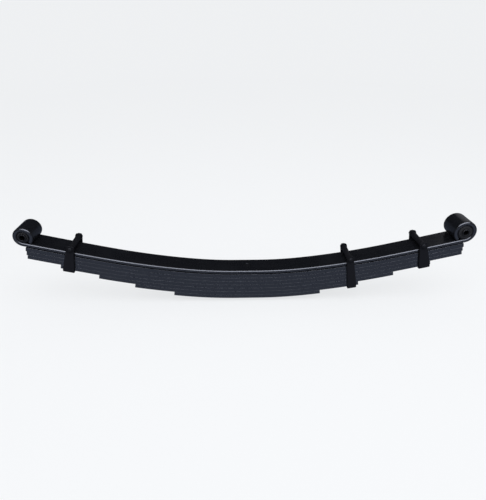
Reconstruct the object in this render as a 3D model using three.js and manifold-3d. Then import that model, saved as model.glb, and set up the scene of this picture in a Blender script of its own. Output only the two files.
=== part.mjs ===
// Multi-leaf spring: eight parallel leaves with rolled eyes, a rubber bush in each eye,
// a centre bolt through the pack and three riveted rebound clips with bolts and spacers.
// Millimetres. +X runs along the spring, +Y across it, +Z up. The leaves' middle plane is
// Y = 0, the centre bolt stands at X = 0, and Z = 0 is the lowest point, the bolt's end.

import * as THREE from 'three';
import { mergeVertices } from 'three/addons/utils/BufferGeometryUtils.js';
import Module from 'manifold-3d';

const wasm = await Module();
wasm.setup();

// Driving dimensions: leaves
const LEAF_COUNT = 8;
const LEAF_WIDTH = 70;
const LEAF_THICKNESS = 11;
const LEAF_GAP = 0.35;
const LEAF_HALF_LENGTHS = [600, 600, 600, 517, 417, 320, 211]; // leaf 2 to leaf 8, along X
const HALF_LENGTH = 628; // centre bolt to the far side of an eye, along X
const EYES = [
  { name: 'left_eye', side: -1, boreRadius: 16 },
  { name: 'right_eye', side: 1, boreRadius: 20.5 },
];
const EYE_TIP_GAP = 1.5; // between the rolled end and the leaf's top face

// The main leaf's top face, outward from the flat seat: arcs that flatten towards the eyes
const SEAT_HALF_LENGTH = 30;
const CAMBER_ARCS = [
  { radius: 1200, endDegrees: 6.2 },
  { radius: 2200, endDegrees: 12.4 },
  { radius: 9000, endDegrees: 16 },
];

// Driving dimensions: eye bushes, each an outer sleeve, a rubber and an inner sleeve
const BUSH_BORE_RADIUS = 7.25; // for the hanger or shackle bolt
const INNER_SLEEVE_WALL = 2.75;
const INNER_SLEEVE_LENGTH = 73;
const RUBBER_LENGTH = 67;
const OUTER_SLEEVE_WALL = 1.8;
const OUTER_SLEEVE_LENGTH = 65;

// Driving dimensions: centre bolt, countersunk in the main leaf, with its nut underneath
const CENTRE_BOLT_RADIUS = 5;
const CENTRE_HEAD_RADIUS = 9.5;
const CENTRE_HEAD_RECESS = 0.4; // head face below the leaf's top face
const CENTRE_NUT_ACROSS_FLATS = 17;
const CENTRE_NUT_HEIGHT = 8;
const CENTRE_BOLT_PROUD = 1.5; // bolt end below the nut

// Driving dimensions: rebound clips
const CLIPS = [
  { name: 'left_clip', side: -1, distance: 483, leaves: 5, footWidth: 30 },
  { name: 'right_inner_clip', side: 1, distance: 288, leaves: 7, footWidth: 25 },
  { name: 'right_outer_clip', side: 1, distance: 487, leaves: 5, footWidth: 30 },
];
const STRAP_THICKNESS = 6;
const STRAP_SIDE_CLEARANCE = 0.8;
const STRAP_TOP_WIDTH = 19; // along the leaf
const STRAP_TOP_CORNER = 4.5;
const STRAP_BEND_RADIUS = 1; // inside, under the leaf's square edge
const STRAP_STRAIGHT_HEIGHT = 10; // height of the full-width foot of each arm
const STRAP_RISE = 20.5; // arm ends above the main leaf's top face
const CLIP_BOLT_RADIUS = 5;
const CLIP_BOLT_RISE = 11; // bolt axis above the main leaf's top face
const CLIP_HEAD_RADIUS = 8;
const CLIP_HEAD_HEIGHT = 6.2;
const CLIP_NUT_ACROSS_FLATS = 16;
const SPACER_RADIUS = 8;
const RIVET_RADIUS = 4;
const RIVET_HEAD_RADIUS = 8;
const RIVET_HEAD_HEIGHT = 5;
const RIVET_FLUSH_RADIUS = 7.2; // countersunk end, in the leaf's top face
const RIVET_FLUSH_DEPTH = 3.2;
const RIVET_RECESS = 0.1; // countersunk end below the leaf's top face

// Fits
const CONTACT_GAP = 0.3; // between pieces that touch
const CUT_MARGIN = 2; // how far a cutting shape reaches past the faces it cuts
const MERGE_DISTANCE = 1e-4;

// Facets
const STATION_DEGREES = 1; // along the leaves
const CLOSEST_STATIONS_DEGREES = 0.25; // a station nearer than this to the next is left out
const EYE_SEGMENTS = 30;
const ROUND_SEGMENTS = 32;
const SMALL_ROUND_SEGMENTS = 20;
const CORNER_SEGMENTS = 5;

// Derived sizes
const LEAF_PITCH = LEAF_THICKNESS + LEAF_GAP;
const PACK_DEPTH = LEAF_COUNT * LEAF_PITCH - LEAF_GAP;
const NUT_TOP_DEPTH = PACK_DEPTH + CONTACT_GAP;
const CENTRE_BOLT_DEPTH = NUT_TOP_DEPTH + CENTRE_NUT_HEIGHT + CENTRE_BOLT_PROUD;
const INNER_SLEEVE_RADIUS = BUSH_BORE_RADIUS + INNER_SLEEVE_WALL;
const STRAP_INNER_HALF = LEAF_WIDTH / 2 + STRAP_SIDE_CLEARANCE;
const STRAP_OUTER_HALF = STRAP_INNER_HALF + STRAP_THICKNESS;
const CLIP_NUT_HEIGHT = CLIP_HEAD_HEIGHT; // the bolt ends flush with its nut
// Half the length of the seat that the centre nut covers, with a margin
const NUT_COVER_HALF = CENTRE_NUT_ACROSS_FLATS / Math.sqrt(3) + CUT_MARGIN;

const radians = THREE.MathUtils.degToRad;

// ---------------------------------------------------------------- materials

const blackPaint = (name) => new THREE.MeshStandardMaterial({
  name, color: 0x23252a, roughness: 0.38, metalness: 0.1,
});
const rubberBlack = new THREE.MeshStandardMaterial({
  name: 'bush_rubber', color: 0x141414, roughness: 0.85, metalness: 0,
});
const bareSteel = new THREE.MeshStandardMaterial({
  name: 'sleeve_steel', color: 0x8d8f92, roughness: 0.35, metalness: 1,
});
const leafPaint = blackPaint('leaf_paint');
const clipPaint = blackPaint('clip_paint');
const fastenerPaint = blackPaint('fastener_paint');

// ---------------------------------------------------------------- solids

// A closed solid from a geometry class: shared vertices merged, flat triangles dropped.
function solid(source) {
  const geometry = source.index ? source.clone() : mergeVertices(source);
  geometry.deleteAttribute('normal');
  geometry.deleteAttribute('uv');
  const merged = mergeVertices(geometry, MERGE_DISTANCE);
  const triangles = [];
  for (let i = 0; i < merged.index.count; i += 3) {
    const [a, b, c] = [0, 1, 2].map((k) => merged.index.getX(i + k));
    if (a !== b && b !== c && c !== a) triangles.push(a, b, c);
  }
  return new wasm.Manifold(new wasm.Mesh({
    numProp: 3,
    vertProperties: new Float32Array(merged.attributes.position.array),
    triVerts: new Uint32Array(triangles),
  }));
}

function geometryOf(manifold) {
  const mesh = manifold.getMesh();
  const geometry = new THREE.BufferGeometry();
  geometry.setAttribute('position', new THREE.BufferAttribute(mesh.vertProperties, 3));
  geometry.setIndex(new THREE.BufferAttribute(mesh.triVerts, 1));
  geometry.computeVertexNormals();
  return geometry;
}

// A shape in X and Z, drawn out evenly to both sides of Y = 0.
function prismAcross(shape, width) {
  const geometry = new THREE.ExtrudeGeometry(shape, {
    depth: width, bevelEnabled: false, curveSegments: CORNER_SEGMENTS,
  });
  return geometry.translate(0, 0, -width / 2).rotateX(Math.PI / 2);
}

// A shape in Y and Z, drawn out evenly to both sides of X = 0.
function prismAlong(shape, length) {
  const geometry = new THREE.ExtrudeGeometry(shape, {
    depth: length, bevelEnabled: false, curveSegments: CORNER_SEGMENTS,
  });
  const turn = new THREE.Matrix4().makeBasis(
    new THREE.Vector3(0, 1, 0),
    new THREE.Vector3(0, 0, 1),
    new THREE.Vector3(1, 0, 0),
  );
  return geometry.translate(0, 0, -length / 2).applyMatrix4(turn);
}

// A round piece about the Y axis, from [radius, y] pairs with y rising on the outside.
function turned(profile, segments = ROUND_SEGMENTS) {
  return new THREE.LatheGeometry(profile.map(([r, y]) => new THREE.Vector2(r, y)), segments);
}

// The same about the Z axis, from [radius, z] pairs.
function turnedUpright(profile, segments = ROUND_SEGMENTS) {
  return turned(profile, segments).rotateX(Math.PI / 2);
}

function tubeProfile(inner, outer, length) {
  const half = length / 2;
  return [[inner, -half], [outer, -half], [outer, half], [inner, half], [inner, -half]];
}

// Profile points of a low domed head that stands on the plane at `base` and rises by `height`.
function domeProfile(radius, base, height) {
  const points = [];
  for (let i = 0; i <= CORNER_SEGMENTS; i += 1) {
    const turn = (i / CORNER_SEGMENTS) * (Math.PI / 2);
    points.push([radius * Math.cos(turn), base + height * Math.sin(turn)]);
  }
  points[CORNER_SEGMENTS][0] = 0;
  return points;
}

// A hexagonal nut about the Y axis, with a plain hole.
function hexNut(acrossFlats, height, holeRadius) {
  const cornerRadius = acrossFlats / Math.sqrt(3);
  const body = solid(new THREE.CylinderGeometry(cornerRadius, cornerRadius, height, 6));
  const hole = new THREE.CylinderGeometry(
    holeRadius, holeRadius, height + 2 * CUT_MARGIN, SMALL_ROUND_SEGMENTS,
  );
  return geometryOf(body.subtract(solid(hole)));
}

// ---------------------------------------------------------------- leaf curve

// The point at a slope angle, on the face that lies `depth` below the main leaf's top face.
// Z is measured from the main leaf's top face at the centre bolt.
function curvePoint(angle, depth) {
  let x = SEAT_HALF_LENGTH;
  let z = 0;
  let start = 0;
  for (const arc of CAMBER_ARCS) {
    const end = Math.min(angle, radians(arc.endDegrees));
    x += arc.radius * (Math.sin(end) - Math.sin(start));
    z += arc.radius * (Math.cos(start) - Math.cos(end));
    start = end;
    if (angle <= end) break;
  }
  return { x: x + depth * Math.sin(angle), z: z - depth * Math.cos(angle) };
}

// The slope angle where the face at `depth` reaches a distance from the centre bolt.
function curveAngle(distance, depth) {
  let start = 0;
  for (const arc of CAMBER_ARCS) {
    const end = radians(arc.endDegrees);
    const from = curvePoint(start, depth).x;
    const sine = Math.sin(start) + (distance - from) / (arc.radius + depth);
    if (sine <= Math.sin(end)) return Math.asin(sine);
    start = end;
  }
  throw new Error('the distance lies past the last camber arc');
}

const mirrored = (points) => points.map(({ x, z }) => ({ x: -x, z }));

// Slope angles of the facets between the seat and `last`, the same for every leaf.
function stationAngles(last) {
  const angles = [];
  for (let degrees = 0; radians(degrees) < last; degrees += STATION_DEGREES) {
    angles.push(radians(degrees));
  }
  for (const arc of CAMBER_ARCS) {
    const end = radians(arc.endDegrees);
    if (end < last) angles.push(end);
  }
  angles.push(last);
  angles.sort((a, b) => a - b);
  const closest = radians(CLOSEST_STATIONS_DEGREES);
  return angles.filter((angle, i) => i === angles.length - 1 || angles[i + 1] - angle > closest);
}

// One face of a leaf from the left end to the right end, as points in X and Z.
function facePoints(leftAngles, rightAngles, depth) {
  const right = rightAngles.map((angle) => curvePoint(angle, depth));
  const left = mirrored(leftAngles.map((angle) => curvePoint(angle, depth))).reverse();
  const seat = [-NUT_COVER_HALF, NUT_COVER_HALF].map((x) => ({ x, z: -depth }));
  return [...left, ...seat, ...right];
}

function outline(points) {
  return new THREE.Shape(points.map(({ x, z }) => new THREE.Vector2(x, z)));
}

function leafDepth(number) {
  return (number - 1) * LEAF_PITCH;
}

// ---------------------------------------------------------------- eyes

// An eye's place and shape on the right half: `angle` is the slope where the main leaf's top
// face runs into the bore, and `sweep` ends a small gap short of the leaf's top face.
function eyeShape({ boreRadius }) {
  const arc = CAMBER_ARCS[CAMBER_ARCS.length - 1];
  const start = radians(CAMBER_ARCS[CAMBER_ARCS.length - 2].endDegrees);
  const outerRadius = boreRadius + LEAF_THICKNESS;
  const reach = HALF_LENGTH - outerRadius - curvePoint(start, 0).x + arc.radius * Math.sin(start);
  const angle = Math.asin(reach / (arc.radius - boreRadius));
  const sweep = 2 * Math.PI - Math.acos((boreRadius - EYE_TIP_GAP) / outerRadius);
  return { angle, sweep, outerRadius, centre: curvePoint(angle, -boreRadius) };
}

// Points on an eye's ring, on the right half, from the leaf round to the tip.
function eyeArc({ angle, sweep, centre }, radius) {
  const points = [];
  for (let i = 1; i <= EYE_SEGMENTS; i += 1) {
    const turn = angle - Math.PI / 2 + (sweep * i) / EYE_SEGMENTS;
    points.push({ x: centre.x + radius * Math.cos(turn), z: centre.z + radius * Math.sin(turn) });
  }
  return points;
}

function mainLeafOutline() {
  const [left, right] = EYES.map((eye) => {
    const shape = eyeShape(eye);
    return {
      angles: stationAngles(shape.angle),
      bore: eyeArc(shape, eye.boreRadius),
      rim: eyeArc(shape, shape.outerRadius),
    };
  });
  return outline([
    ...facePoints(left.angles, right.angles, LEAF_THICKNESS),
    ...right.rim,
    ...right.bore.reverse(),
    ...facePoints(left.angles, right.angles, 0).reverse(),
    ...mirrored(left.bore),
    ...mirrored(left.rim).reverse(),
  ]);
}

function plainLeafOutline(number) {
  const depth = leafDepth(number);
  const middle = depth + LEAF_THICKNESS / 2;
  const angles = stationAngles(curveAngle(LEAF_HALF_LENGTHS[number - 2], middle));
  return outline([
    ...facePoints(angles, angles, depth + LEAF_THICKNESS),
    ...facePoints(angles, angles, depth).reverse(),
  ]);
}

// ---------------------------------------------------------------- clip places

// A clip's own frame: origin on the main leaf's top face, Z square to the leaves.
function clipFrame(clip) {
  const angle = curveAngle(clip.distance, 0);
  const { x, z } = curvePoint(angle, 0);
  return new THREE.Matrix4()
    .makeRotationY(-clip.side * angle)
    .setPosition(clip.side * x, 0, z);
}

// Heights in a clip's frame
const clipLeafTop = (clip) => -leafDepth(clip.leaves);
const clipLeafBottom = (clip) => clipLeafTop(clip) - LEAF_THICKNESS;
const strapBaseTop = (clip) => clipLeafBottom(clip) - CONTACT_GAP;
const strapBaseBottom = (clip) => strapBaseTop(clip) - STRAP_THICKNESS;

// ---------------------------------------------------------------- leaves

// Countersunk hole from the face at `top` down through `bottom`, about the Z axis.
function countersunkHole(top, bottom, shankRadius, faceRadius, coneDepth) {
  return solid(turnedUpright([
    [0, bottom - CUT_MARGIN],
    [shankRadius, bottom - CUT_MARGIN],
    [shankRadius, top - coneDepth],
    [faceRadius, top],
    [faceRadius, top + CUT_MARGIN],
    [0, top + CUT_MARGIN],
  ], SMALL_ROUND_SEGMENTS));
}

const centreConeDepth = CENTRE_HEAD_RADIUS - CENTRE_BOLT_RADIUS; // a 90 degree head

function centreHole(number) {
  if (number === 1) {
    return countersunkHole(
      0,
      -LEAF_THICKNESS,
      CENTRE_BOLT_RADIUS + CONTACT_GAP,
      CENTRE_HEAD_RADIUS + CONTACT_GAP + CENTRE_HEAD_RECESS,
      centreConeDepth + CENTRE_HEAD_RECESS,
    );
  }
  const radius = CENTRE_BOLT_RADIUS + CONTACT_GAP;
  const hole = new THREE.CylinderGeometry(
    radius, radius, LEAF_THICKNESS + 2 * CUT_MARGIN, SMALL_ROUND_SEGMENTS,
  );
  hole.rotateX(Math.PI / 2).translate(0, 0, -leafDepth(number) - LEAF_THICKNESS / 2);
  return solid(hole);
}

function rivetHole(clip) {
  const geometry = geometryOf(countersunkHole(
    clipLeafTop(clip),
    clipLeafBottom(clip),
    RIVET_RADIUS + CONTACT_GAP,
    RIVET_FLUSH_RADIUS + CONTACT_GAP,
    RIVET_FLUSH_DEPTH,
  ));
  return solid(geometry.applyMatrix4(clipFrame(clip)));
}

function leafGeometry(number) {
  const shape = number === 1 ? mainLeafOutline() : plainLeafOutline(number);
  let body = solid(prismAcross(shape, LEAF_WIDTH)).subtract(centreHole(number));
  for (const clip of CLIPS.filter(({ leaves }) => leaves === number)) {
    body = body.subtract(rivetHole(clip));
  }
  return geometryOf(body);
}

// ---------------------------------------------------------------- centre bolt

function centreBoltGeometry() {
  const head = -CENTRE_HEAD_RECESS;
  return geometryOf(solid(turnedUpright([
    [0, -CENTRE_BOLT_DEPTH],
    [CENTRE_BOLT_RADIUS, -CENTRE_BOLT_DEPTH],
    [CENTRE_BOLT_RADIUS, head - centreConeDepth],
    [CENTRE_HEAD_RADIUS, head],
    [0, head],
  ], SMALL_ROUND_SEGMENTS)));
}

function centreNutGeometry() {
  return hexNut(CENTRE_NUT_ACROSS_FLATS, CENTRE_NUT_HEIGHT, CENTRE_BOLT_RADIUS + CONTACT_GAP)
    .rotateX(Math.PI / 2)
    .translate(0, 0, -NUT_TOP_DEPTH - CENTRE_NUT_HEIGHT / 2);
}

// ---------------------------------------------------------------- clip pieces

// The strap's section across the leaves: a U with bent corners.
function strapSection(clip) {
  const top = STRAP_RISE + CUT_MARGIN; // trimmed to height by the side outline
  const inside = strapBaseTop(clip);
  const outside = strapBaseBottom(clip);
  const bend = STRAP_BEND_RADIUS;
  const outerBend = bend + STRAP_THICKNESS;
  const [inner, outer] = [STRAP_INNER_HALF, STRAP_OUTER_HALF];
  const quarter = Math.PI / 2;
  const shape = new THREE.Shape();
  shape.moveTo(-outer, top);
  shape.lineTo(-outer, outside + outerBend);
  shape.absarc(-outer + outerBend, outside + outerBend, outerBend, Math.PI, 3 * quarter);
  shape.lineTo(outer - outerBend, outside);
  shape.absarc(outer - outerBend, outside + outerBend, outerBend, -quarter, 0);
  shape.lineTo(outer, top);
  shape.lineTo(inner, top);
  shape.lineTo(inner, inside + bend);
  shape.absarc(inner - bend, inside + bend, bend, 0, -quarter, true);
  shape.lineTo(-inner + bend, inside);
  shape.absarc(-inner + bend, inside + bend, bend, -quarter, -Math.PI, true);
  shape.lineTo(-inner, top);
  shape.closePath();
  return shape;
}

// The strap seen from the side: a wide foot, arms that narrow upwards, rounded ends.
function strapSide(clip) {
  const foot = clip.footWidth / 2;
  const half = STRAP_TOP_WIDTH / 2;
  const corner = STRAP_TOP_CORNER;
  const bottom = strapBaseBottom(clip) - CUT_MARGIN; // trimmed to depth by the section
  const shoulder = strapBaseTop(clip) + STRAP_STRAIGHT_HEIGHT;
  const shape = new THREE.Shape();
  shape.moveTo(-foot, bottom);
  shape.lineTo(foot, bottom);
  shape.lineTo(foot, shoulder);
  shape.lineTo(half, STRAP_RISE - corner);
  shape.absarc(half - corner, STRAP_RISE - corner, corner, 0, Math.PI / 2);
  shape.absarc(-half + corner, STRAP_RISE - corner, corner, Math.PI / 2, Math.PI);
  shape.lineTo(-foot, shoulder);
  shape.closePath();
  return shape;
}

function strapGeometry(clip) {
  const boltHoleRadius = CLIP_BOLT_RADIUS + CONTACT_GAP;
  const boltHole = new THREE.CylinderGeometry(
    boltHoleRadius, boltHoleRadius, 2 * (STRAP_OUTER_HALF + CUT_MARGIN), SMALL_ROUND_SEGMENTS,
  ).translate(0, 0, CLIP_BOLT_RISE);
  const rivetHoleRadius = RIVET_RADIUS + CONTACT_GAP;
  const baseHole = new THREE.CylinderGeometry(
    rivetHoleRadius, rivetHoleRadius, STRAP_THICKNESS + 2 * CUT_MARGIN, SMALL_ROUND_SEGMENTS,
  ).rotateX(Math.PI / 2).translate(0, 0, strapBaseTop(clip) - STRAP_THICKNESS / 2);
  return geometryOf(
    solid(prismAlong(strapSection(clip), clip.footWidth + 2 * CUT_MARGIN))
      .intersect(solid(prismAcross(strapSide(clip), 2 * (STRAP_OUTER_HALF + CUT_MARGIN))))
      .subtract(solid(boltHole))
      .subtract(solid(baseHole)),
  );
}

function rivetGeometry(clip) {
  const headTop = strapBaseBottom(clip) - CONTACT_GAP;
  const flush = clipLeafTop(clip) - RIVET_RECESS;
  const dome = domeProfile(RIVET_HEAD_RADIUS, 0, RIVET_HEAD_HEIGHT)
    .map(([radius, height]) => [radius, headTop - height])
    .reverse();
  return geometryOf(solid(turnedUpright([
    ...dome,
    [RIVET_RADIUS, headTop],
    [RIVET_RADIUS, flush - RIVET_FLUSH_DEPTH],
    [RIVET_FLUSH_RADIUS, flush],
    [0, flush],
  ], SMALL_ROUND_SEGMENTS)));
}

function clipBoltGeometry() {
  const face = STRAP_OUTER_HALF + CONTACT_GAP;
  const dome = domeProfile(CLIP_HEAD_RADIUS, 0, CLIP_HEAD_HEIGHT)
    .map(([radius, height]) => [radius, -face - height])
    .reverse();
  const end = face + CLIP_NUT_HEIGHT;
  return geometryOf(solid(turned([
    ...dome,
    [CLIP_BOLT_RADIUS, -face],
    [CLIP_BOLT_RADIUS, end],
    [0, end],
  ], SMALL_ROUND_SEGMENTS))).translate(0, 0, CLIP_BOLT_RISE);
}

function clipNutGeometry() {
  const middle = STRAP_OUTER_HALF + CONTACT_GAP + CLIP_NUT_HEIGHT / 2;
  return hexNut(CLIP_NUT_ACROSS_FLATS, CLIP_NUT_HEIGHT, CLIP_BOLT_RADIUS + CONTACT_GAP)
    .translate(0, middle, CLIP_BOLT_RISE);
}

function spacerGeometry() {
  const length = 2 * (STRAP_INNER_HALF - CONTACT_GAP);
  const profile = tubeProfile(CLIP_BOLT_RADIUS + CONTACT_GAP, SPACER_RADIUS, length);
  return geometryOf(solid(turned(profile))).translate(0, 0, CLIP_BOLT_RISE);
}

// ---------------------------------------------------------------- assembly

// Everything is placed from the main leaf's top face at the centre bolt.
const spring = new THREE.Group();
spring.position.z = CENTRE_BOLT_DEPTH;

function add(parent, name, geometry, material) {
  const mesh = new THREE.Mesh(geometry, material);
  mesh.name = name;
  parent.add(mesh);
}

for (let number = 1; number <= LEAF_COUNT; number += 1) {
  const name = number === 1 ? 'main_leaf' : `leaf_${number}`;
  add(spring, name, leafGeometry(number), leafPaint);
}

add(spring, 'centre_bolt', centreBoltGeometry(), fastenerPaint);
add(spring, 'centre_nut', centreNutGeometry(), fastenerPaint);

for (const eye of EYES) {
  const { centre } = eyeShape(eye);
  const bush = new THREE.Group();
  bush.position.set(eye.side * centre.x, 0, centre.z);
  spring.add(bush);
  const outerRadius = eye.boreRadius - CONTACT_GAP;
  const innerRadius = outerRadius - OUTER_SLEEVE_WALL;
  const rubberBore = INNER_SLEEVE_RADIUS + CONTACT_GAP;
  for (const [part, from, to, length, material] of [
    ['outer_sleeve', innerRadius, outerRadius, OUTER_SLEEVE_LENGTH, bareSteel],
    ['rubber_bush', rubberBore, innerRadius - CONTACT_GAP, RUBBER_LENGTH, rubberBlack],
    ['inner_sleeve', BUSH_BORE_RADIUS, INNER_SLEEVE_RADIUS, INNER_SLEEVE_LENGTH, bareSteel],
  ]) {
    const tube = solid(turned(tubeProfile(from, to, length)));
    add(bush, `${eye.name}_${part}`, geometryOf(tube), material);
  }
}

for (const clip of CLIPS) {
  const frame = new THREE.Group();
  clipFrame(clip).decompose(frame.position, frame.quaternion, frame.scale);
  spring.add(frame);
  add(frame, `${clip.name}_strap`, strapGeometry(clip), clipPaint);
  add(frame, `${clip.name}_rivet`, rivetGeometry(clip), fastenerPaint);
  add(frame, `${clip.name}_bolt`, clipBoltGeometry(), fastenerPaint);
  add(frame, `${clip.name}_spacer`, spacerGeometry(), clipPaint);
  add(frame, `${clip.name}_nut`, clipNutGeometry(), fastenerPaint);
}

export default spring;
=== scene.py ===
# Looks for a multi-leaf spring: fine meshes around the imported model, materials, stage, lights and camera.
# Metres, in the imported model's frame: +X along the spring, +Y across it, +Z up.

import math

import bmesh
import bpy
from mathutils import Matrix, Vector


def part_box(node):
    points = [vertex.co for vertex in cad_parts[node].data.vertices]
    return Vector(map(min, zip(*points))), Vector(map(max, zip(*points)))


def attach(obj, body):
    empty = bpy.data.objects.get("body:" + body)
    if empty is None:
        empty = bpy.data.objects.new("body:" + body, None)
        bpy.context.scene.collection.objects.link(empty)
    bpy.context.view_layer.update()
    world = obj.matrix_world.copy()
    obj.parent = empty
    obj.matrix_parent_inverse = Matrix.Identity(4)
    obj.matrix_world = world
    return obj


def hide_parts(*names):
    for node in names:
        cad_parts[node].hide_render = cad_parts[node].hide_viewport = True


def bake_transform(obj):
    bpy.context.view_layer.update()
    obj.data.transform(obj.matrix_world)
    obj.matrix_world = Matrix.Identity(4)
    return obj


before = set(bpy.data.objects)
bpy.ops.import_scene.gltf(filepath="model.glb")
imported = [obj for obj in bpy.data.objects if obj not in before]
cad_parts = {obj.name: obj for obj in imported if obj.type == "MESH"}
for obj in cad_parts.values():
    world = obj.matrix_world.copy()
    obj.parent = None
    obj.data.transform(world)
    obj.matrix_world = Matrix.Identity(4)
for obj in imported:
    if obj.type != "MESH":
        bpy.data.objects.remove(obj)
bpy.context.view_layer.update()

# ---------------------------------------------------------------- sizes

MM = 0.001

LEAF_THICKNESS = 11 * MM
LEAF_EDGE_RADIUS = 0.4 * MM
LEAF_END_RADIUS = 0.7 * MM
MAIN_EDGE_RADIUS = 5.2 * MM
SEAT_HALF_LENGTH = 30 * MM
# The main leaf's top face, outward from the seat: arcs of (radius, slope at the arc's end)
CAMBER_ARCS = (
    (1200 * MM, math.radians(6.2)),
    (2200 * MM, math.radians(12.4)),
    (9000 * MM, math.radians(16)),
)
EYE_TIP_GAP = 1.5 * MM  # between an eye's rolled tip and the leaf

OUTER_SLEEVE_WALL = 1.8 * MM
INNER_SLEEVE_BORE_RADIUS = 7.25 * MM
RUBBER_GAP = 0.05 * MM  # to the inner sleeve
BUSH_PARTS = (  # part, slot, its body's name after the side, edge radius
    ("outer_sleeve", "sleeve_steel", "end", 0.4 * MM),
    ("rubber_bush", "bush_rubber", "end", 0.9 * MM),
    ("inner_sleeve", "sleeve_steel", "eye_sleeve", 0.5 * MM),
)

BOLT_RADIUS = 5 * MM  # the centre bolt and the clips' bolts
BOLT_HOLE_RADIUS = 5.3 * MM
BOLT_END_CHAMFER = 0.8 * MM
CENTRE_HEAD_RECESS = 0.4 * MM  # below the main leaf's top face
CENTRE_HEAD_GAP = 0.15 * MM  # to its hole, all round
CENTRE_HEAD_RIM = 0.1 * MM
DOME_RADIUS = 8 * MM  # heads of the clips' bolts and rivets

NUT_BORE_RADIUS = 5.1 * MM
NUT_BORE_CHAMFER = 0.7 * MM
NUT_CORNER_LIMIT = 1.148  # where the corners are turned off, as a share of the flats' radius
NUT_CHAMFER_START = 0.96  # likewise
NUT_CHAMFER_SLOPE = math.tan(math.radians(28))
NUT_EDGE_INSET = 0.25 * MM  # softens the edge where chamfer and flat meet
NUT_EDGE_DROP = 0.3 * MM
NUT_EDGE_SHARE = 0.9  # of the chamfer's drop, where the softening starts

STRAP_THICKNESS = 6 * MM
STRAP_EDGE_RADIUS = 1.3 * MM
STRAP_BEND_RADIUS = 7 * MM  # outside
STRAP_TOP_WIDTH = 19 * MM
STRAP_TOP_CORNER = 4.5 * MM
STRAP_STRAIGHT_HEIGHT = 10 * MM
STRAP_RISE = 20.5 * MM  # arm ends above the main leaf's top face
CLIP_BOLT_RISE = 11 * MM
CLIP_NUT_ACROSS_FLATS = 16 * MM
SPACER_RADIUS = 8 * MM
SPACER_EDGE_RADIUS = 0.5 * MM
RIVET_RADIUS = 4 * MM
RIVET_HEAD_HEIGHT = 5 * MM
RIVET_FLUSH_RADIUS = 7.2 * MM  # countersunk end, in the lowest leaf's top face
RIVET_FLUSH_DEPTH = 3.2 * MM
RIVET_RECESS = 0.1 * MM
CONTACT_GAP = 0.3 * MM
CLIPS = {  # side, leaves held, width of the strap's foot, body
    "left_clip": (-1, 5, 30 * MM, "left_end"),
    "right_inner_clip": (1, 7, 25 * MM, "right_end"),
    "right_outer_clip": (1, 5, 30 * MM, "right_end"),
}

# How finely meshes follow their curves
LEAF_STEP = 7 * MM  # between cross-sections along a leaf
EYE_STEPS = 72
CORNER_STEPS = 6
ROUND_STEPS = 96
TUBE_EDGE_STEPS = 4
DOME_STEPS = 12
STRAP_END_DEGREES = range(81, -1, -9)  # round a strap arm's end, from just below its top
STRAP_ARM_STEPS = 10
STRAP_FOOT_STEPS = 3
STRAP_BEND_STEPS = 8
STRAP_BASE_SHARES = (-0.6, -0.2, 0.2, 0.6)  # of half the base's flat, from its middle
FLAT_SHARES = (0.04, 0.25, 0.5, 0.75, 0.96)  # along each flat of a swept section
MIN_RADIUS = 0.1 * MM
SWEPT_SHARP_DEGREES = 40  # edges sharper than this stay hard
TURNED_SHARP_DEGREES = 35
NUT_SHARP_DEGREES = 25

ROOM_RADIUS = 6.0
ROOM_HEIGHT = 5.0
ROOM_BEND = 0.8  # radius between floor and wall
ROOM_BEND_STEPS = 12
ROOM_SIDES = 64
FLOOR_COLOUR = (0.16, 0.16, 0.162, 1)
FLOOR_GLOW = (0.97, 0.985, 1.0, 1)
FLOOR_GLOW_STRENGTH = 0.74

MIRROR_COLOUR = (0.69, 0.81, 1.15, 1)  # what the paint reflects, instead of the room
MIRROR_NEAR = 0.73  # brightness below the horizon, on the camera's side
MIRROR_FAR = 0.12  # and behind
MIRROR_SKY = 0.02  # brightness above the horizon, and added below it
MIRROR_SPAN = (-0.75, 0.1)  # a direction's Y where near ends and far starts
MIRROR_HORIZON = 0.02  # a direction's Z within which below turns into above

CAMERA_PLACE = (-0.0478, -1.0704, 0.7119)
CAMERA_YAW = math.radians(1.892)  # to the right of +Y
CAMERA_PITCH = math.radians(27.718)  # below the horizon
CAMERA_ROLL = math.radians(0.311)
CAMERA_LENS_MM = 30.7
CAMERA_SENSOR_MM = 36

# ---------------------------------------------------------------- places read from the frame


def middle(node):
    low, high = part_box(node)
    return (low + high) / 2


def size(node):
    low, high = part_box(node)
    return high - low


LEAF_COUNT = sum("leaf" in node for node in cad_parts)
LEAF_NODES = ["main_leaf"] + [f"leaf_{number}" for number in range(2, LEAF_COUNT + 1)]
LEAF_WIDTH = size("main_leaf").y
LEAF_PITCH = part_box("leaf_2")[0].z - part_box("leaf_3")[0].z
TOP_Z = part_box("main_leaf")[0].z + LEAF_THICKNESS  # the main leaf's top face at the centre bolt
EYE_CENTRES = {-1: middle("left_eye_inner_sleeve"), 1: middle("right_eye_inner_sleeve")}
EYE_OUTER_RADII = {
    -1: EYE_CENTRES[-1].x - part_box("main_leaf")[0].x,
    1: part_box("main_leaf")[1].x - EYE_CENTRES[1].x,
}

# ---------------------------------------------------------------- leaf curve


def curve_point(angle, depth):
    """(x, z) where the right half's slope is angle, on the face depth below the main leaf's top face."""
    x, z, start = SEAT_HALF_LENGTH, 0.0, 0.0
    for radius, arc_end in CAMBER_ARCS:
        end = min(angle, arc_end)
        x += radius * (math.sin(end) - math.sin(start))
        z += radius * (math.cos(start) - math.cos(end))
        start = end
        if angle <= end:
            break
    return x + depth * math.sin(angle), TOP_Z + z - depth * math.cos(angle)


def curve_angle(distance, depth):
    """The slope angle where the face at depth reaches a distance from the centre bolt."""
    start = 0.0
    for radius, arc_end in CAMBER_ARCS:
        from_x = curve_point(start, depth)[0]
        sine = math.sin(start) + (distance - from_x) / (radius + depth)
        if sine <= math.sin(arc_end):
            return math.asin(sine)
        start = arc_end
    raise ValueError("the distance lies past the last camber arc")


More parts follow.
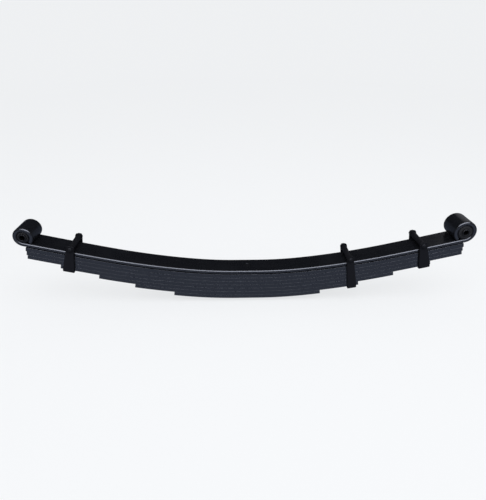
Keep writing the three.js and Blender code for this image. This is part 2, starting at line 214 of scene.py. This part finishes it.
def station(x, depth):
    """(x, z, slope) on the face at depth, at a signed distance from the centre bolt."""
    side = -1 if x < 0 else 1
    if abs(x) <= SEAT_HALF_LENGTH:
        return x, TOP_Z - depth, 0.0
    angle = curve_angle(abs(x), depth)
    return x, curve_point(angle, depth)[1], side * angle


# ---------------------------------------------------------------- mesh helpers


def new_object(name, bm):
    mesh = bpy.data.meshes.new(name)
    bmesh.ops.recalc_face_normals(bm, faces=bm.faces)
    bm.to_mesh(mesh)
    bm.free()
    obj = bpy.data.objects.new(name, mesh)
    bpy.context.collection.objects.link(obj)
    return obj


def smooth(obj, degrees):
    """Smooth shading, with edges sharper than an angle left hard."""
    obj.data.shade_smooth()
    obj.data.set_sharp_from_angle(angle=math.radians(degrees))
    return obj


def spread(start, end, count):
    """Even steps from start to end, without start."""
    return [start + (end - start) * step / count for step in range(1, count + 1)]


def join_rings(bm, rings, closed=False):
    """Faces between neighbouring rings of vertices. A ring of one vertex is a pole."""
    pairs = list(zip(rings, rings[1:]))
    if closed:
        pairs.append((rings[-1], rings[0]))
    for ring_a, ring_b in pairs:
        steps = max(len(ring_a), len(ring_b))
        for step in range(steps):
            following = (step + 1) % steps
            corners = [
                ring_a[step % len(ring_a)],
                ring_a[following % len(ring_a)],
                ring_b[following % len(ring_b)],
                ring_b[step % len(ring_b)],
            ]
            bm.faces.new(list(dict.fromkeys(corners)))


def rounded_rectangle(half_width, half_height, radius):
    """[(u, v, edge)] round a rectangle with rounded corners; edge is 1 on the corners and 0 on the flats."""
    signs = ((1, 1), (-1, 1), (-1, -1), (1, -1))
    centres = [(u * (half_width - radius), v * (half_height - radius)) for u, v in signs]
    points = []
    for quarter, (centre, following) in enumerate(zip(centres, centres[1:] + centres[:1])):
        for step in range(CORNER_STEPS + 1):
            turn = math.pi / 2 * (quarter + step / CORNER_STEPS)
            points.append((centre[0] + radius * math.cos(turn), centre[1] + radius * math.sin(turn), 1.0))
        last_u, last_v = points[-1][:2]
        for share in FLAT_SHARES:
            along_u = (following[0] - centre[0]) * share
            along_v = (following[1] - centre[1]) * share
            points.append((last_u + along_u, last_v + along_v, 0.0))
    return points


def sweep(name, sections):
    """A closed skin through sections, each (origin, across, up, half_width, half_height, radius).
    The vertices' edge value marks rounded corners and ends, where paint wears."""
    bm = bmesh.new()
    edge_layer = bm.verts.layers.float.new("edge")
    rings = []
    for origin, across, up, half_width, half_height, radius in sections:
        ring = []
        for u, v, edge in rounded_rectangle(half_width, half_height, radius):
            vert = bm.verts.new(origin + across * u + up * v)
            vert[edge_layer] = edge
            ring.append(vert)
        rings.append(ring)
    join_rings(bm, rings)
    bm.faces.new(list(reversed(rings[0])))
    bm.faces.new(rings[-1])
    for vert in rings[0] + rings[-1]:
        vert[edge_layer] = 1.0
    return new_object(name, bm)


def turned(radius, along, turn):
    """A point at an angle about the Y axis."""
    return Vector((radius * math.cos(turn), along, radius * math.sin(turn)))


def lathe(name, profile, place, axis="Y", closed=True):
    """A round piece through (radius, along) points. A closed profile is a ring; an open one starts and ends
    on the axis."""
    bm = bmesh.new()
    rings = []
    for radius, along in profile:
        steps = ROUND_STEPS if radius > 0 else 1
        turns = [2 * math.pi * step / steps for step in range(steps)]
        rings.append([bm.verts.new(turned(radius, along, turn)) for turn in turns])
    join_rings(bm, rings, closed)
    obj = new_object(name, bm)
    if axis == "Z":
        obj.data.transform(Matrix.Rotation(math.radians(90), 4, "X"))
    obj.data.transform(place)
    return smooth(obj, TURNED_SHARP_DEGREES)


def corner(radius_at, along_at, radius, from_degrees):
    """Profile points of a quarter round about (radius_at, along_at)."""
    points = []
    for step in range(TUBE_EDGE_STEPS + 1):
        turn = math.radians(from_degrees + 90 * step / TUBE_EDGE_STEPS)
        points.append((radius_at + radius * math.cos(turn), along_at + radius * math.sin(turn)))
    return points


def tube_profile(inner, outer, half_length, edge):
    """A closed ring section with rounded edges."""
    return (
        corner(outer - edge, -half_length + edge, edge, -90)
        + corner(outer - edge, half_length - edge, edge, 0)
        + corner(inner + edge, half_length - edge, edge, 90)
        + corner(inner + edge, -half_length + edge, edge, 180)
    )


def dome(radius, face, height):
    """Profile points of a domed head, from its crown to its rim on the flat face at along = face."""
    points = [(0, face - height)]
    for turn in spread(0, math.pi / 2, DOME_STEPS):
        points.append((radius * math.sin(turn), face - height * math.cos(turn)))
    return points


def nut_profile(turn, flat_radius, half_height):
    """(radius, along) points round a nut's section at an angle about its axis."""
    from_flat = turn % (math.pi / 3) - math.pi / 6
    rim = min(flat_radius / math.cos(from_flat), flat_radius * NUT_CORNER_LIMIT)
    chamfer_start = flat_radius * NUT_CHAMFER_START
    drop = (rim - chamfer_start) * NUT_CHAMFER_SLOPE
    upper = [
        (NUT_BORE_RADIUS, half_height - NUT_BORE_CHAMFER),
        (NUT_BORE_RADIUS + NUT_BORE_CHAMFER, half_height),
        (chamfer_start, half_height),
        (rim - NUT_EDGE_INSET, half_height - drop * NUT_EDGE_SHARE),
        (rim, half_height - drop - NUT_EDGE_DROP),
    ]
    return [(NUT_BORE_RADIUS, 0)] + upper + [(radius, -along) for radius, along in reversed(upper)]


def hex_nut(name, across_flats, height, place):
    """A hexagonal nut about Y with chamfered faces and a countersunk bore."""
    bm = bmesh.new()
    turns = [2 * math.pi * step / ROUND_STEPS for step in range(ROUND_STEPS)]
    profiles = [nut_profile(turn, across_flats / 2, height / 2) for turn in turns]
    rings = []
    for row in zip(*profiles):
        rings.append([bm.verts.new(turned(radius, along, turn)) for (radius, along), turn in zip(row, turns)])
    join_rings(bm, rings, closed=True)
    obj = new_object(name, bm)
    obj.data.transform(place)
    return smooth(obj, NUT_SHARP_DEGREES)


# ---------------------------------------------------------------- materials

MIX_A, MIX_B, MIX_RESULT = 6, 7, 2  # a Mix node's colour sockets


class Nodes:
    """Short calls for building a node tree."""

    def __init__(self, owner):
        owner.use_nodes = True
        self.tree = owner.node_tree
        self.tree.nodes.clear()

    def add(self, kind, **properties):
        node = self.tree.nodes.new(kind)
        for name, value in properties.items():
            setattr(node, name, value)
        return node

    def link(self, source, target, source_socket=0, target_socket=0):
        self.tree.links.new(source.outputs[source_socket], target.inputs[target_socket])

    def noise(self, place, scale, detail, roughness):
        node = self.add("ShaderNodeTexNoise")
        node.inputs["Scale"].default_value = scale
        node.inputs["Detail"].default_value = detail
        node.inputs["Roughness"].default_value = roughness
        self.link(place, node, "Object", "Vector")
        return node

    def remap(self, source, from_range, to_range, socket=0):
        node = self.add("ShaderNodeMapRange")
        for end, value in zip(("From Min", "From Max", "To Min", "To Max"), (*from_range, *to_range)):
            node.inputs[end].default_value = value
        self.link(source, node, socket, "Value")
        return node

    def mix(self, factor, colour_a, colour_b):
        """Two colours mixed. Each is a plain colour or another Mix node."""
        node = self.add("ShaderNodeMix", data_type="RGBA")
        self.link(factor, node)
        for socket, colour in ((MIX_A, colour_a), (MIX_B, colour_b)):
            if isinstance(colour, bpy.types.Node):
                self.link(colour, node, MIX_RESULT, socket)
            else:
                node.inputs[socket].default_value = (*colour, 1)
        return node

    def bump(self, height, strength, distance):
        node = self.add("ShaderNodeBump")
        node.inputs["Strength"].default_value = strength
        node.inputs["Distance"].default_value = distance
        self.link(height, node, 0, "Height")
        return node

    def principled(self, values):
        """A Principled shader with values set by socket name, and the output that it feeds."""
        shader = self.add("ShaderNodeBsdfPrincipled")
        for socket, value in values.items():
            shader.inputs[socket].default_value = value
        output = self.add("ShaderNodeOutputMaterial")
        self.link(shader, output, 0, "Surface")
        return shader

    def surface(self, base, shine, bump, values):
        """A Principled shader with nodes for its colour, roughness and bump."""
        shader = self.principled(values)
        self.link(base, shader, MIX_RESULT, "Base Color")
        self.link(shine, shader, 0, "Roughness")
        self.link(bump, shader, 0, "Normal")


def painted_steel(name, colour, dust_colour, roughness, bump_depth, gloss):
    """Paint over rolled steel: soft orange peel, scale pits, dull patches and thin worn edges."""
    material = bpy.data.materials.new(name)
    nodes = Nodes(material)
    place = nodes.add("ShaderNodeTexCoord")
    patches = nodes.noise(place, scale=14, detail=5, roughness=0.6)
    fine = nodes.noise(place, scale=420, detail=3, roughness=0.5)
    pits = nodes.noise(place, scale=95, detail=6, roughness=0.7)
    chips = nodes.noise(place, scale=130, detail=5, roughness=0.65)

    dust = nodes.remap(patches, (0.45, 0.75), (0.0, 0.25))
    dusty = nodes.mix(dust, colour, dust_colour)
    edge = nodes.add("ShaderNodeAttribute", attribute_name="edge")
    worn = nodes.add("ShaderNodeMath", operation="MULTIPLY")
    nodes.link(edge, worn, "Fac", 0)
    nodes.link(nodes.remap(chips, (0.63, 0.68), (0.0, 0.15)), worn, 0, 1)
    base = nodes.mix(worn, dusty, (0.035, 0.037, 0.042))

    shine = nodes.add("ShaderNodeMath", operation="ADD")
    nodes.link(nodes.remap(patches, (0.3, 0.75), (roughness - 0.03, roughness + 0.06)), shine, 0, 0)
    nodes.link(nodes.remap(fine, (0.3, 0.7), (-0.03, 0.04)), shine, 0, 1)

    peel = nodes.bump(fine, strength=0.2, distance=bump_depth)
    pit_depth = nodes.remap(pits, (0.35, 0.65), (0.0, 1.0))
    scale_pits = nodes.bump(pit_depth, strength=0.07, distance=bump_depth * 3)
    nodes.link(peel, scale_pits, 0, "Normal")
    nodes.surface(base, shine, scale_pits, {"Specular IOR Level": gloss})
    return material


def bare_steel(name):
    """Dull drawn steel with a brown-grey film."""
    material = bpy.data.materials.new(name)
    nodes = Nodes(material)
    place = nodes.add("ShaderNodeTexCoord")
    film = nodes.remap(nodes.noise(place, scale=60, detail=6, roughness=0.65), (0.4, 0.65), (0.0, 1.0))
    base = nodes.mix(film, (0.012, 0.012, 0.013), (0.03, 0.028, 0.026))
    shine = nodes.remap(nodes.noise(place, scale=260, detail=4, roughness=0.6), (0.3, 0.7), (0.32, 0.55))
    grain = nodes.noise(place, scale=900, detail=3, roughness=0.5)
    bump = nodes.bump(grain, strength=0.25, distance=0.05 * MM)
    nodes.surface(base, shine, bump, {"Metallic": 0.85})
    return material


def rubber(name):
    """Moulded black rubber with a grey bloom."""
    material = bpy.data.materials.new(name)
    nodes = Nodes(material)
    place = nodes.add("ShaderNodeTexCoord")
    bloom = nodes.remap(nodes.noise(place, scale=80, detail=5, roughness=0.6), (0.4, 0.7), (0.0, 1.0))
    base = nodes.mix(bloom, (0.006, 0.006, 0.0065), (0.014, 0.014, 0.0145))
    shine = nodes.remap(nodes.noise(place, scale=300, detail=3, roughness=0.5), (0.3, 0.7), (0.65, 0.85))
    grain = nodes.noise(place, scale=1200, detail=2, roughness=0.5)
    bump = nodes.bump(grain, strength=0.3, distance=0.08 * MM)
    nodes.surface(base, shine, bump, {"Specular IOR Level": 0.2})
    return material


def floor_white():
    """A pale floor that glows, so that it stays even round the object."""
    material = bpy.data.materials.new("floor_white")
    Nodes(material).principled({
        "Base Color": FLOOR_COLOUR,
        "Roughness": 0.9,
        "Specular IOR Level": 0.0,
        "Emission Color": FLOOR_GLOW,
        "Emission Strength": FLOOR_GLOW_STRENGTH,
    })
    return material


MATERIALS = {
    "leaf_paint": painted_steel(
        "leaf_paint",
        colour=(0.0035, 0.0037, 0.0048),
        dust_colour=(0.0075, 0.0078, 0.0095),
        roughness=0.27,
        bump_depth=0.02 * MM,
        gloss=0.5,
    ),
    "clip_paint": painted_steel(
        "clip_paint",
        colour=(0.0045, 0.0045, 0.0058),
        dust_colour=(0.0075, 0.0076, 0.0095),
        roughness=0.55,
        bump_depth=0.04 * MM,
        gloss=0.1,
    ),
    "fastener_paint": painted_steel(
        "fastener_paint",
        colour=(0.0045, 0.0046, 0.0058),
        dust_colour=(0.0075, 0.0077, 0.0095),
        roughness=0.55,
        bump_depth=0.03 * MM,
        gloss=0.08,
    ),
    "sleeve_steel": bare_steel("sleeve_steel"),
    "bush_rubber": rubber("bush_rubber"),
}


def dress(piece, node, slot):
    """Gives the piece the material of its slot, and hides the CAD node that it stands for."""
    piece.data.materials.clear()
    piece.data.materials.append(MATERIALS[slot])
    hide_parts(node)


def finish_piece(piece, node, slot, body):
    """A piece that rides whole on one body."""
    dress(piece, node, slot)
    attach(piece, body)


# ---------------------------------------------------------------- leaves


def bar_place(x, depth):
    """(origin, across, up) of a leaf's cross-section on its middle line at a signed distance."""
    at_x, at_z, slope = station(x, depth)
    across = Vector((0, 1, 0))
    up = Vector((-math.sin(slope), 0, math.cos(slope)))
    return Vector((at_x, 0, at_z)), across, up


def leaf_section(place, edge_radius, inset=0.0):
    """A leaf's cross-section at (origin, across, up), smaller by inset all round."""
    radius = max(edge_radius - inset, MIN_RADIUS)
    return (*place, LEAF_WIDTH / 2 - inset, LEAF_THICKNESS / 2 - inset, radius)


def bar_sections(depth, first, last, edge_radius):
    """Cross-sections of a leaf from x = first to x = last, without its ends."""
    steps = max(2, round((last - first) / LEAF_STEP))
    stations = [first] + spread(first, last, steps)
    return [leaf_section(bar_place(x, depth), edge_radius) for x in stations]


def end_sections(place, edge_radius):
    """Cross-sections that round a leaf's end. place(back) gives a place at a distance back from the end."""
    sections = []
    for step in range(CORNER_STEPS + 1):
        turn = math.pi / 2 * step / CORNER_STEPS
        back = LEAF_END_RADIUS * (1 - math.sin(turn))
        inset = LEAF_END_RADIUS * (1 - math.cos(turn))
        sections.append(leaf_section(place(back), edge_radius, inset))
    return sections


def plain_leaf(number):
    """Leaf 2 and below: a curved bar with rounded edges and ends."""
    node = LEAF_NODES[number - 1]
    depth = (number - 1) * LEAF_PITCH + LEAF_THICKNESS / 2
    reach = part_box(node)[1].x
    # The box ends at the end face's lower edge, which leans out past the face's middle.
    half = reach - LEAF_THICKNESS / 2 * math.sin(curve_angle(reach, depth))
    left_end = end_sections(lambda back: bar_place(back - half, depth), LEAF_EDGE_RADIUS)
    right_end = end_sections(lambda back: bar_place(half - back, depth), LEAF_EDGE_RADIUS)
    inner = half - LEAF_END_RADIUS - LEAF_STEP / 3
    bar = bar_sections(depth, -inner, inner, LEAF_EDGE_RADIUS)
    return sweep(node + "_whole", left_end[::-1] + bar + right_end)


def eye_angle(side):
    """The slope where the main leaf's top face runs into an eye's bore."""
    start = CAMBER_ARCS[-2][1]
    radius = CAMBER_ARCS[-1][0]
    from_x = curve_point(start, 0)[0]
    reach = abs(EYE_CENTRES[side].x) - from_x + radius * math.sin(start)
    return math.asin(reach / (radius - EYE_OUTER_RADII[side] + LEAF_THICKNESS))


def eye_sections(side):
    """Cross-sections of the rolled ring, from the leaf round to the rounded tip."""
    centre = EYE_CENTRES[side]
    outer = EYE_OUTER_RADII[side]
    bore = outer - LEAF_THICKNESS
    ring_radius = outer - LEAF_THICKNESS / 2
    start = eye_angle(side) - math.pi / 2
    full_turn = 2 * math.pi - math.acos((bore - EYE_TIP_GAP) / outer)

    def place(turn):
        outward = Vector((side * math.cos(start + turn), 0, math.sin(start + turn)))
        return Vector((centre.x, 0, centre.z)) + outward * ring_radius, Vector((0, 1, 0)), -outward

    ring = spread(0, full_turn - LEAF_END_RADIUS / ring_radius, EYE_STEPS)
    tip = end_sections(lambda back: place(full_turn - back / ring_radius), MAIN_EDGE_RADIUS)
    return [leaf_section(place(turn), MAIN_EDGE_RADIUS) for turn in ring] + tip[1:]


def main_leaf():
    """The top leaf, with both eyes and the hole for the centre bolt's head."""
    depth = LEAF_THICKNESS / 2
    left = -curve_point(eye_angle(-1), depth)[0]
    right = curve_point(eye_angle(1), depth)[0]
    bar = bar_sections(depth, left, right, MAIN_EDGE_RADIUS)
    whole = sweep("main_leaf_whole", eye_sections(-1)[::-1] + bar + eye_sections(1))
    cut_centre_hole(whole)
    return whole


def cut_centre_hole(whole):
    """Cuts the countersunk hole for the centre bolt's head."""
    radius = size("centre_bolt").x / 2 + CENTRE_HEAD_GAP
    seat = TOP_Z - CENTRE_HEAD_RECESS
    clear_of_leaf = 2 * MM
    profile = [
        (0, TOP_Z - 2 * LEAF_THICKNESS),
        (BOLT_HOLE_RADIUS, TOP_Z - 2 * LEAF_THICKNESS),
        (BOLT_HOLE_RADIUS, seat - (radius - BOLT_HOLE_RADIUS)),
        (radius, seat),
        (radius, TOP_Z + clear_of_leaf),
        (0, TOP_Z + clear_of_leaf),
    ]
    cutter = lathe("cutter", profile, Matrix.Identity(4), axis="Z", closed=False)
    modifier = whole.modifiers.new("hole", "BOOLEAN")
    modifier.operation = "DIFFERENCE"
    modifier.solver = "EXACT"
    modifier.object = cutter
    graph = bpy.context.evaluated_depsgraph_get()
    cut = bpy.data.meshes.new_from_object(whole.evaluated_get(graph))
    whole.modifiers.clear()
    whole.data = cut
    bpy.data.objects.remove(cutter)


def half_of(whole, name, side):
    """A copy of one half of a leaf, cut at the centre bolt."""
    bm = bmesh.new()
    bm.from_mesh(whole.data)
    everything = bm.verts[:] + bm.edges[:] + bm.faces[:]
    result = bmesh.ops.bisect_plane(
        bm, geom=everything, plane_co=(0, 0, 0), plane_no=(-side, 0, 0), clear_outer=True
    )
    cut_edges = [item for item in result["geom_cut"] if isinstance(item, bmesh.types.BMEdge)]
    bmesh.ops.holes_fill(bm, edges=cut_edges, sides=0)
    return smooth(new_object(name, bm), SWEPT_SHARP_DEGREES)


def leaves():
    """Every leaf as two halves, one on each side of the centre bolt."""
    for number, node in enumerate(LEAF_NODES, start=1):
        whole = main_leaf() if number == 1 else plain_leaf(number)
        for side, word in ((-1, "left"), (1, "right")):
            piece = half_of(whole, f"{node}_{word}", side)
            dress(piece, node, "leaf_paint")
            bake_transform(piece)
        bpy.data.objects.remove(whole)


# ---------------------------------------------------------------- eye bushes


def bush(word):
    """The outer sleeve, rubber and inner sleeve in one eye."""
    bores = {
        "outer_sleeve": size(f"{word}_eye_outer_sleeve").x / 2 - OUTER_SLEEVE_WALL,
        "rubber_bush": size(f"{word}_eye_inner_sleeve").x / 2 + RUBBER_GAP,
        "inner_sleeve": INNER_SLEEVE_BORE_RADIUS,
    }
    for part, slot, body, edge in BUSH_PARTS:
        node = f"{word}_eye_{part}"
        extent = size(node)
        profile = tube_profile(bores[part], extent.x / 2, extent.y / 2, edge)
        piece = lathe(node + "_piece", profile, Matrix.Translation(middle(node)))
        finish_piece(piece, node, slot, f"{word}_{body}")


# ---------------------------------------------------------------- centre bolt


def centre_bolt():
    """The bolt's countersunk head is in the main leaf's top face, and its end is in the nut below."""
    low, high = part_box("centre_bolt")
    head = (high.x - low.x) / 2
    profile = [
        (0, low.z),
        (BOLT_RADIUS - BOLT_END_CHAMFER, low.z),
        (BOLT_RADIUS, low.z + BOLT_END_CHAMFER),
        (BOLT_RADIUS, high.z - (head - BOLT_RADIUS)),
        (head, high.z - CENTRE_HEAD_RIM),
        (head - CENTRE_HEAD_RIM, high.z),
        (0, high.z),
    ]
    bolt = lathe("centre_bolt_piece", profile, Matrix.Identity(4), axis="Z", closed=False)
    finish_piece(bolt, "centre_bolt", "fastener_paint", "leaf_pack")


def centre_nut():
    upright = Matrix.Rotation(math.radians(90), 4, "X")
    place = Matrix.Translation(middle("centre_nut")) @ upright
    extent = size("centre_nut")
    nut = hex_nut("centre_nut_piece", extent.x, extent.z, place)
    finish_piece(nut, "centre_nut", "fastener_paint", "leaf_pack")


# ---------------------------------------------------------------- clips


def clip_frame(name, side):
    """A clip's frame: origin on the main leaf's top face, Z square to the leaves. The spacer's box gives the
    bolt's axis, and the frame follows from it."""
    bolt_x = abs(middle(f"{name}_spacer").x)
    angle = curve_angle(bolt_x, 0)
    for _ in range(4):  # settles the slope at the foot of a bolt that leans inward
        angle = curve_angle(bolt_x + CLIP_BOLT_RISE * math.sin(angle), 0)
    x, z = curve_point(angle, 0)
    return Matrix.Translation((side * x, 0, z)) @ Matrix.Rotation(-side * angle, 4, "Y")


def lowest_leaf_top(leaf_count):
    """The top face of the lowest leaf that a clip holds, in the clip's frame."""
    return -(leaf_count - 1) * LEAF_PITCH


def strap_path(base, foot, half):
    """[(y, z, outward y, outward z)] on the strap's middle line, from the near arm's end to the far arm's."""
    bend = STRAP_BEND_RADIUS - STRAP_THICKNESS / 2
    shoulder = STRAP_RISE - STRAP_TOP_CORNER
    heights = [shoulder + STRAP_TOP_CORNER * math.sin(math.radians(degrees)) for degrees in STRAP_END_DEGREES]
    heights += spread(shoulder, foot, STRAP_ARM_STEPS) + spread(foot, base + bend, STRAP_FOOT_STEPS)
    near = [(-half, height, -1, 0) for height in heights]
    for turn in spread(0, math.pi / 2, STRAP_BEND_STEPS):
        out_y, out_z = -math.cos(turn), -math.sin(turn)
        near.append((-half + bend * (1 + out_y), base + bend * (1 + out_z), out_y, out_z))
    across = [(share * (half - bend), base, 0, -1) for share in STRAP_BASE_SHARES]
    return near + across + [(-y, z, -out_y, out_z) for y, z, out_y, out_z in reversed(near)]


def strap_half_width(height, foot, foot_width):
    """Half the arm's width at a height: full at the foot, narrower upwards, rounded at the end."""
    if height <= foot:
        return foot_width / 2
    shoulder = STRAP_RISE - STRAP_TOP_CORNER
    share = min((height - foot) / (shoulder - foot), 1)
    above = max(height - shoulder, 0)
    rounding = STRAP_TOP_CORNER - math.sqrt(STRAP_TOP_CORNER**2 - above**2)
    return (foot_width + (STRAP_TOP_WIDTH - foot_width) * share) / 2 - rounding


def strap(name, place, leaf_count, foot_width):
    """A bent flat bar: base under the leaves, arms up both sides that narrow to rounded ends."""
    base_top = lowest_leaf_top(leaf_count) - LEAF_THICKNESS - CONTACT_GAP
    foot = base_top + STRAP_STRAIGHT_HEIGHT
    half = (size(f"{name}_strap").y - STRAP_THICKNESS) / 2
    sections = []
    for y, z, out_y, out_z in strap_path(base_top - STRAP_THICKNESS / 2, foot, half):
        half_width = strap_half_width(z, foot, foot_width)
        directions = Vector((1, 0, 0)), Vector((0, out_y, out_z))
        sections.append((Vector((0, y, z)), *directions, half_width, STRAP_THICKNESS / 2, STRAP_EDGE_RADIUS))
    obj = sweep(f"{name}_strap_piece", sections)
    obj.data.transform(place)
    return smooth(obj, SWEPT_SHARP_DEGREES)


def clip_bolt(name, at_bolt):
    """A domed bolt through both arms, flush with its nut."""
    end = size(f"{name}_bolt").y / 2
    face = size(f"{name}_strap").y / 2 + CONTACT_GAP
    profile = dome(DOME_RADIUS, -face, end - face) + [
        (BOLT_RADIUS, -face),
        (BOLT_RADIUS, end - BOLT_END_CHAMFER),
        (BOLT_RADIUS - BOLT_END_CHAMFER, end),
        (0, end),
    ]
    return lathe(f"{name}_bolt_piece", profile, at_bolt, closed=False)


def clip_nut(name, at_bolt):
    along = Matrix.Translation((0, middle(f"{name}_nut").y, 0))
    return hex_nut(f"{name}_nut_piece", CLIP_NUT_ACROSS_FLATS, size(f"{name}_nut").y, at_bolt @ along)


def spacer(name, at_bolt):
    profile = tube_profile(BOLT_HOLE_RADIUS, SPACER_RADIUS, size(f"{name}_spacer").y / 2, SPACER_EDGE_RADIUS)
    return lathe(f"{name}_spacer_piece", profile, at_bolt)


def rivet(name, place, leaf_count):
    """Holds the strap to the lowest leaf in the clip: domed under the strap, countersunk into the leaf."""
    top = lowest_leaf_top(leaf_count)
    strap_face = top - LEAF_THICKNESS - 2 * CONTACT_GAP - STRAP_THICKNESS
    flush = top - RIVET_RECESS
    profile = dome(DOME_RADIUS, strap_face, RIVET_HEAD_HEIGHT) + [
        (RIVET_RADIUS, strap_face),
        (RIVET_RADIUS, flush - RIVET_FLUSH_DEPTH),
        (RIVET_FLUSH_RADIUS, flush),
        (0, flush),
    ]
    return lathe(f"{name}_rivet_piece", profile, place, axis="Z", closed=False)


def clip(name, side, leaf_count, foot_width, body):
    """A strap riveted under the leaves, with a bolt, spacer and nut between its arms above them."""
    place = clip_frame(name, side)
    at_bolt = place @ Matrix.Translation((0, 0, CLIP_BOLT_RISE))
    for part, slot, piece in (
        ("strap", "clip_paint", strap(name, place, leaf_count, foot_width)),
        ("rivet", "fastener_paint", rivet(name, place, leaf_count)),
        ("bolt", "fastener_paint", clip_bolt(name, at_bolt)),
        ("spacer", "clip_paint", spacer(name, at_bolt)),
        ("nut", "fastener_paint", clip_nut(name, at_bolt)),
    ):
        finish_piece(piece, f"{name}_{part}", slot, body)


# ---------------------------------------------------------------- stage, lights, camera


def stage():
    """A pale floor that curves up into a round wall and a ceiling, evenly bright on every side."""
    line = [(0.0, 0.0)]
    for step in range(ROOM_BEND_STEPS + 1):
        turn = math.pi / 2 * step / ROOM_BEND_STEPS
        line.append((ROOM_RADIUS - ROOM_BEND * (1 - math.sin(turn)), ROOM_BEND * (1 - math.cos(turn))))
    line += [(ROOM_RADIUS, ROOM_HEIGHT), (0.0, ROOM_HEIGHT)]
    bm = bmesh.new()
    points = [bm.verts.new((radius, 0, height)) for radius, height in line]
    edges = [bm.edges.new(pair) for pair in zip(points, points[1:])]
    bmesh.ops.spin(
        bm,
        geom=points + edges,
        cent=(0, 0, 0),
        axis=(0, 0, 1),
        angle=2 * math.pi,
        steps=ROOM_SIDES,
        use_merge=True,
    )
    bmesh.ops.remove_doubles(bm, verts=bm.verts, dist=MM)
    for face in bm.faces:
        face.smooth = True
    mesh = bpy.data.meshes.new("floor")
    bm.to_mesh(mesh)
    bm.free()
    mesh.materials.append(floor_white())
    floor = bpy.data.objects.new("floor", mesh)
    bpy.context.collection.objects.link(floor)
    floor.visible_glossy = False  # the world stands in for it in reflections


def surroundings():
    """What the paint mirrors: pale below the horizon on the camera's side, dim behind and above."""
    world = bpy.data.worlds.new("world")
    bpy.context.scene.world = world
    nodes = Nodes(world)
    direction = nodes.add("ShaderNodeTexCoord")
    parts = nodes.add("ShaderNodeSeparateXYZ")
    nodes.link(direction, parts, "Generated", 0)
    toward_back = nodes.remap(parts, MIRROR_SPAN, (MIRROR_NEAR, MIRROR_FAR), "Y")
    below = nodes.remap(parts, (-MIRROR_HORIZON, MIRROR_HORIZON), (1.0, 0.0), "Z")
    strength = nodes.add("ShaderNodeMath", operation="MULTIPLY_ADD")
    nodes.link(toward_back, strength, 0, 0)
    nodes.link(below, strength, 0, 1)
    strength.inputs[2].default_value = MIRROR_SKY
    background = nodes.add("ShaderNodeBackground")
    background.inputs["Color"].default_value = MIRROR_COLOUR
    nodes.link(strength, background, 0, "Strength")
    output = nodes.add("ShaderNodeOutputWorld")
    nodes.link(background, output, 0, "Surface")


def area_light(name, place, target, extent, watts, colour, shines=True):
    """A softbox of (width, depth). One that doesn't shine is only seen in reflections."""
    light = bpy.data.lights.new(name, "AREA")
    light.shape = "RECTANGLE"
    light.size, light.size_y = extent
    light.energy = watts
    light.color = colour
    obj = bpy.data.objects.new(name, light)
    obj.location = place
    direction = Vector(target) - Vector(place)
    obj.rotation_euler = direction.to_track_quat("-Z", "Y").to_euler()
    obj.visible_diffuse = shines
    obj.visible_camera = False
    bpy.context.collection.objects.link(obj)


def lights():
    """A soft key from above, a long strip for the main leaf's edge, a small one behind the right end."""
    area_light(
        "key",
        place=(0.3, -0.9, 2.2),
        target=(0.1, -0.1, 0),
        extent=(3.4, 1.8),
        watts=40,
        colour=(0.95, 0.97, 1.0),
    )
    area_light(
        "strip",
        place=(0.2, -1.2, 2.0),
        target=(0, 0, 0.1),
        extent=(3.6, 1.7),
        watts=165,
        colour=(0.80, 0.86, 1.05),
        shines=False,
    )
    area_light(
        "fill",
        place=(1.30, 0.95, 0.75),
        target=(0.6, 0, 0.2),
        extent=(0.9, 1.0),
        watts=0.9,
        colour=(0.97, 0.96, 1.0),
        shines=False,
    )


def camera():
    data = bpy.data.cameras.new("camera")
    data.lens = CAMERA_LENS_MM
    data.sensor_width = CAMERA_SENSOR_MM
    data.clip_start = 10 * MM
    obj = bpy.data.objects.new("camera", data)
    level = math.cos(CAMERA_PITCH)
    forward = Vector((math.sin(CAMERA_YAW) * level, math.cos(CAMERA_YAW) * level, -math.sin(CAMERA_PITCH)))
    right = Vector((math.cos(CAMERA_YAW), -math.sin(CAMERA_YAW), 0))
    up = right.cross(forward)
    turn = Matrix((right, up, -forward)).transposed().to_4x4()
    obj.matrix_world = Matrix.Translation(CAMERA_PLACE) @ turn @ Matrix.Rotation(CAMERA_ROLL, 4, "Z")
    bpy.context.collection.objects.link(obj)
    bpy.context.scene.camera = obj


# ---------------------------------------------------------------- everything

camera()
surroundings()
lights()
stage()
leaves()
for word in ("left", "right"):
    bush(word)
centre_bolt()
centre_nut()
for name, description in CLIPS.items():
    clip(name, *description)
bpy.context.scene.view_settings.view_transform = "Standard"
